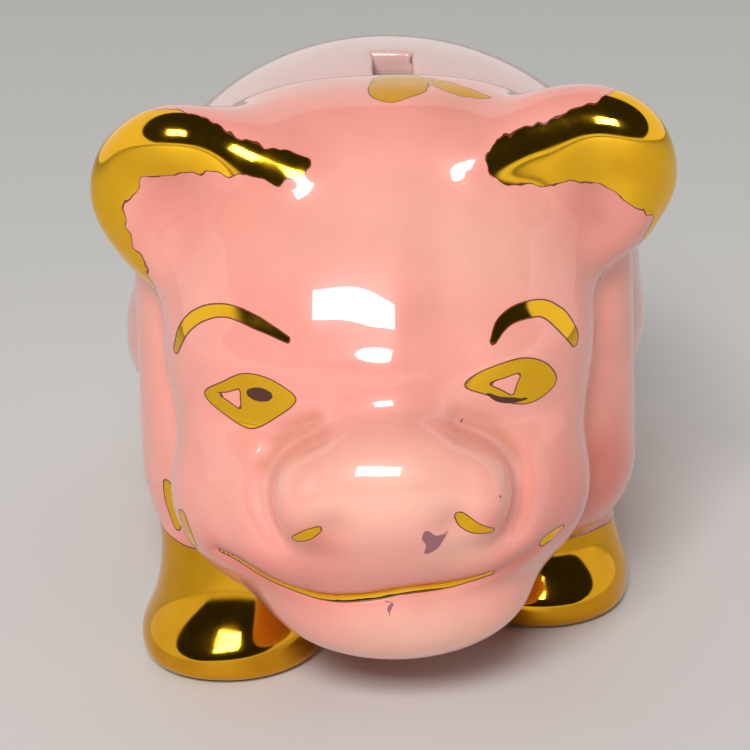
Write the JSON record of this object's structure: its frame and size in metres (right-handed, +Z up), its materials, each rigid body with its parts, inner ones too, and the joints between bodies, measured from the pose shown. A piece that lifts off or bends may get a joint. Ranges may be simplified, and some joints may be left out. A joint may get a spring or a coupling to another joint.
{
  "type": "ceramic pig coin bank",
  "caption": "Standing glazed ceramic pig coin bank with gilt ears, face and hooves, a coin slot in the back and a pull-out rubber stopper in the belly.",
  "frame": {"origin": "centre of the bounding box in plan, on the plane that the four hooves stand on", "axes": "+Z up, +Y from the snout towards the tail, +X towards the pig's left side, which is the right side for a viewer who faces the snout"},
  "size_m": [0.0772, 0.1299, 0.0791],
  "materials": {
    "pink_glaze": "air-brushed pink under a clear high-gloss glaze",
    "gilt_glaze": "fired bright gold lustre over glossy glaze",
    "stopper_rubber": "matt aged rubber"
  },
  "bodies": {
    "bank": {"body_shell": "pink_glaze", "head_shell": "pink_glaze", "ear_left": "pink_glaze", "ear_right": "pink_glaze", "leg_front_left": "gilt_glaze", "leg_front_right": "gilt_glaze", "leg_rear_left": "gilt_glaze", "leg_rear_right": "gilt_glaze", "tail_curl": "pink_glaze"},
    "stopper": {"belly_stopper": "stopper_rubber"}
  },
  "joints": [
    {"name": "stopper_slide", "type": "slide", "parent": "bank", "child": "stopper", "axis": [0, 0, -1], "range_m": [0, 0.0075]}
  ]
}
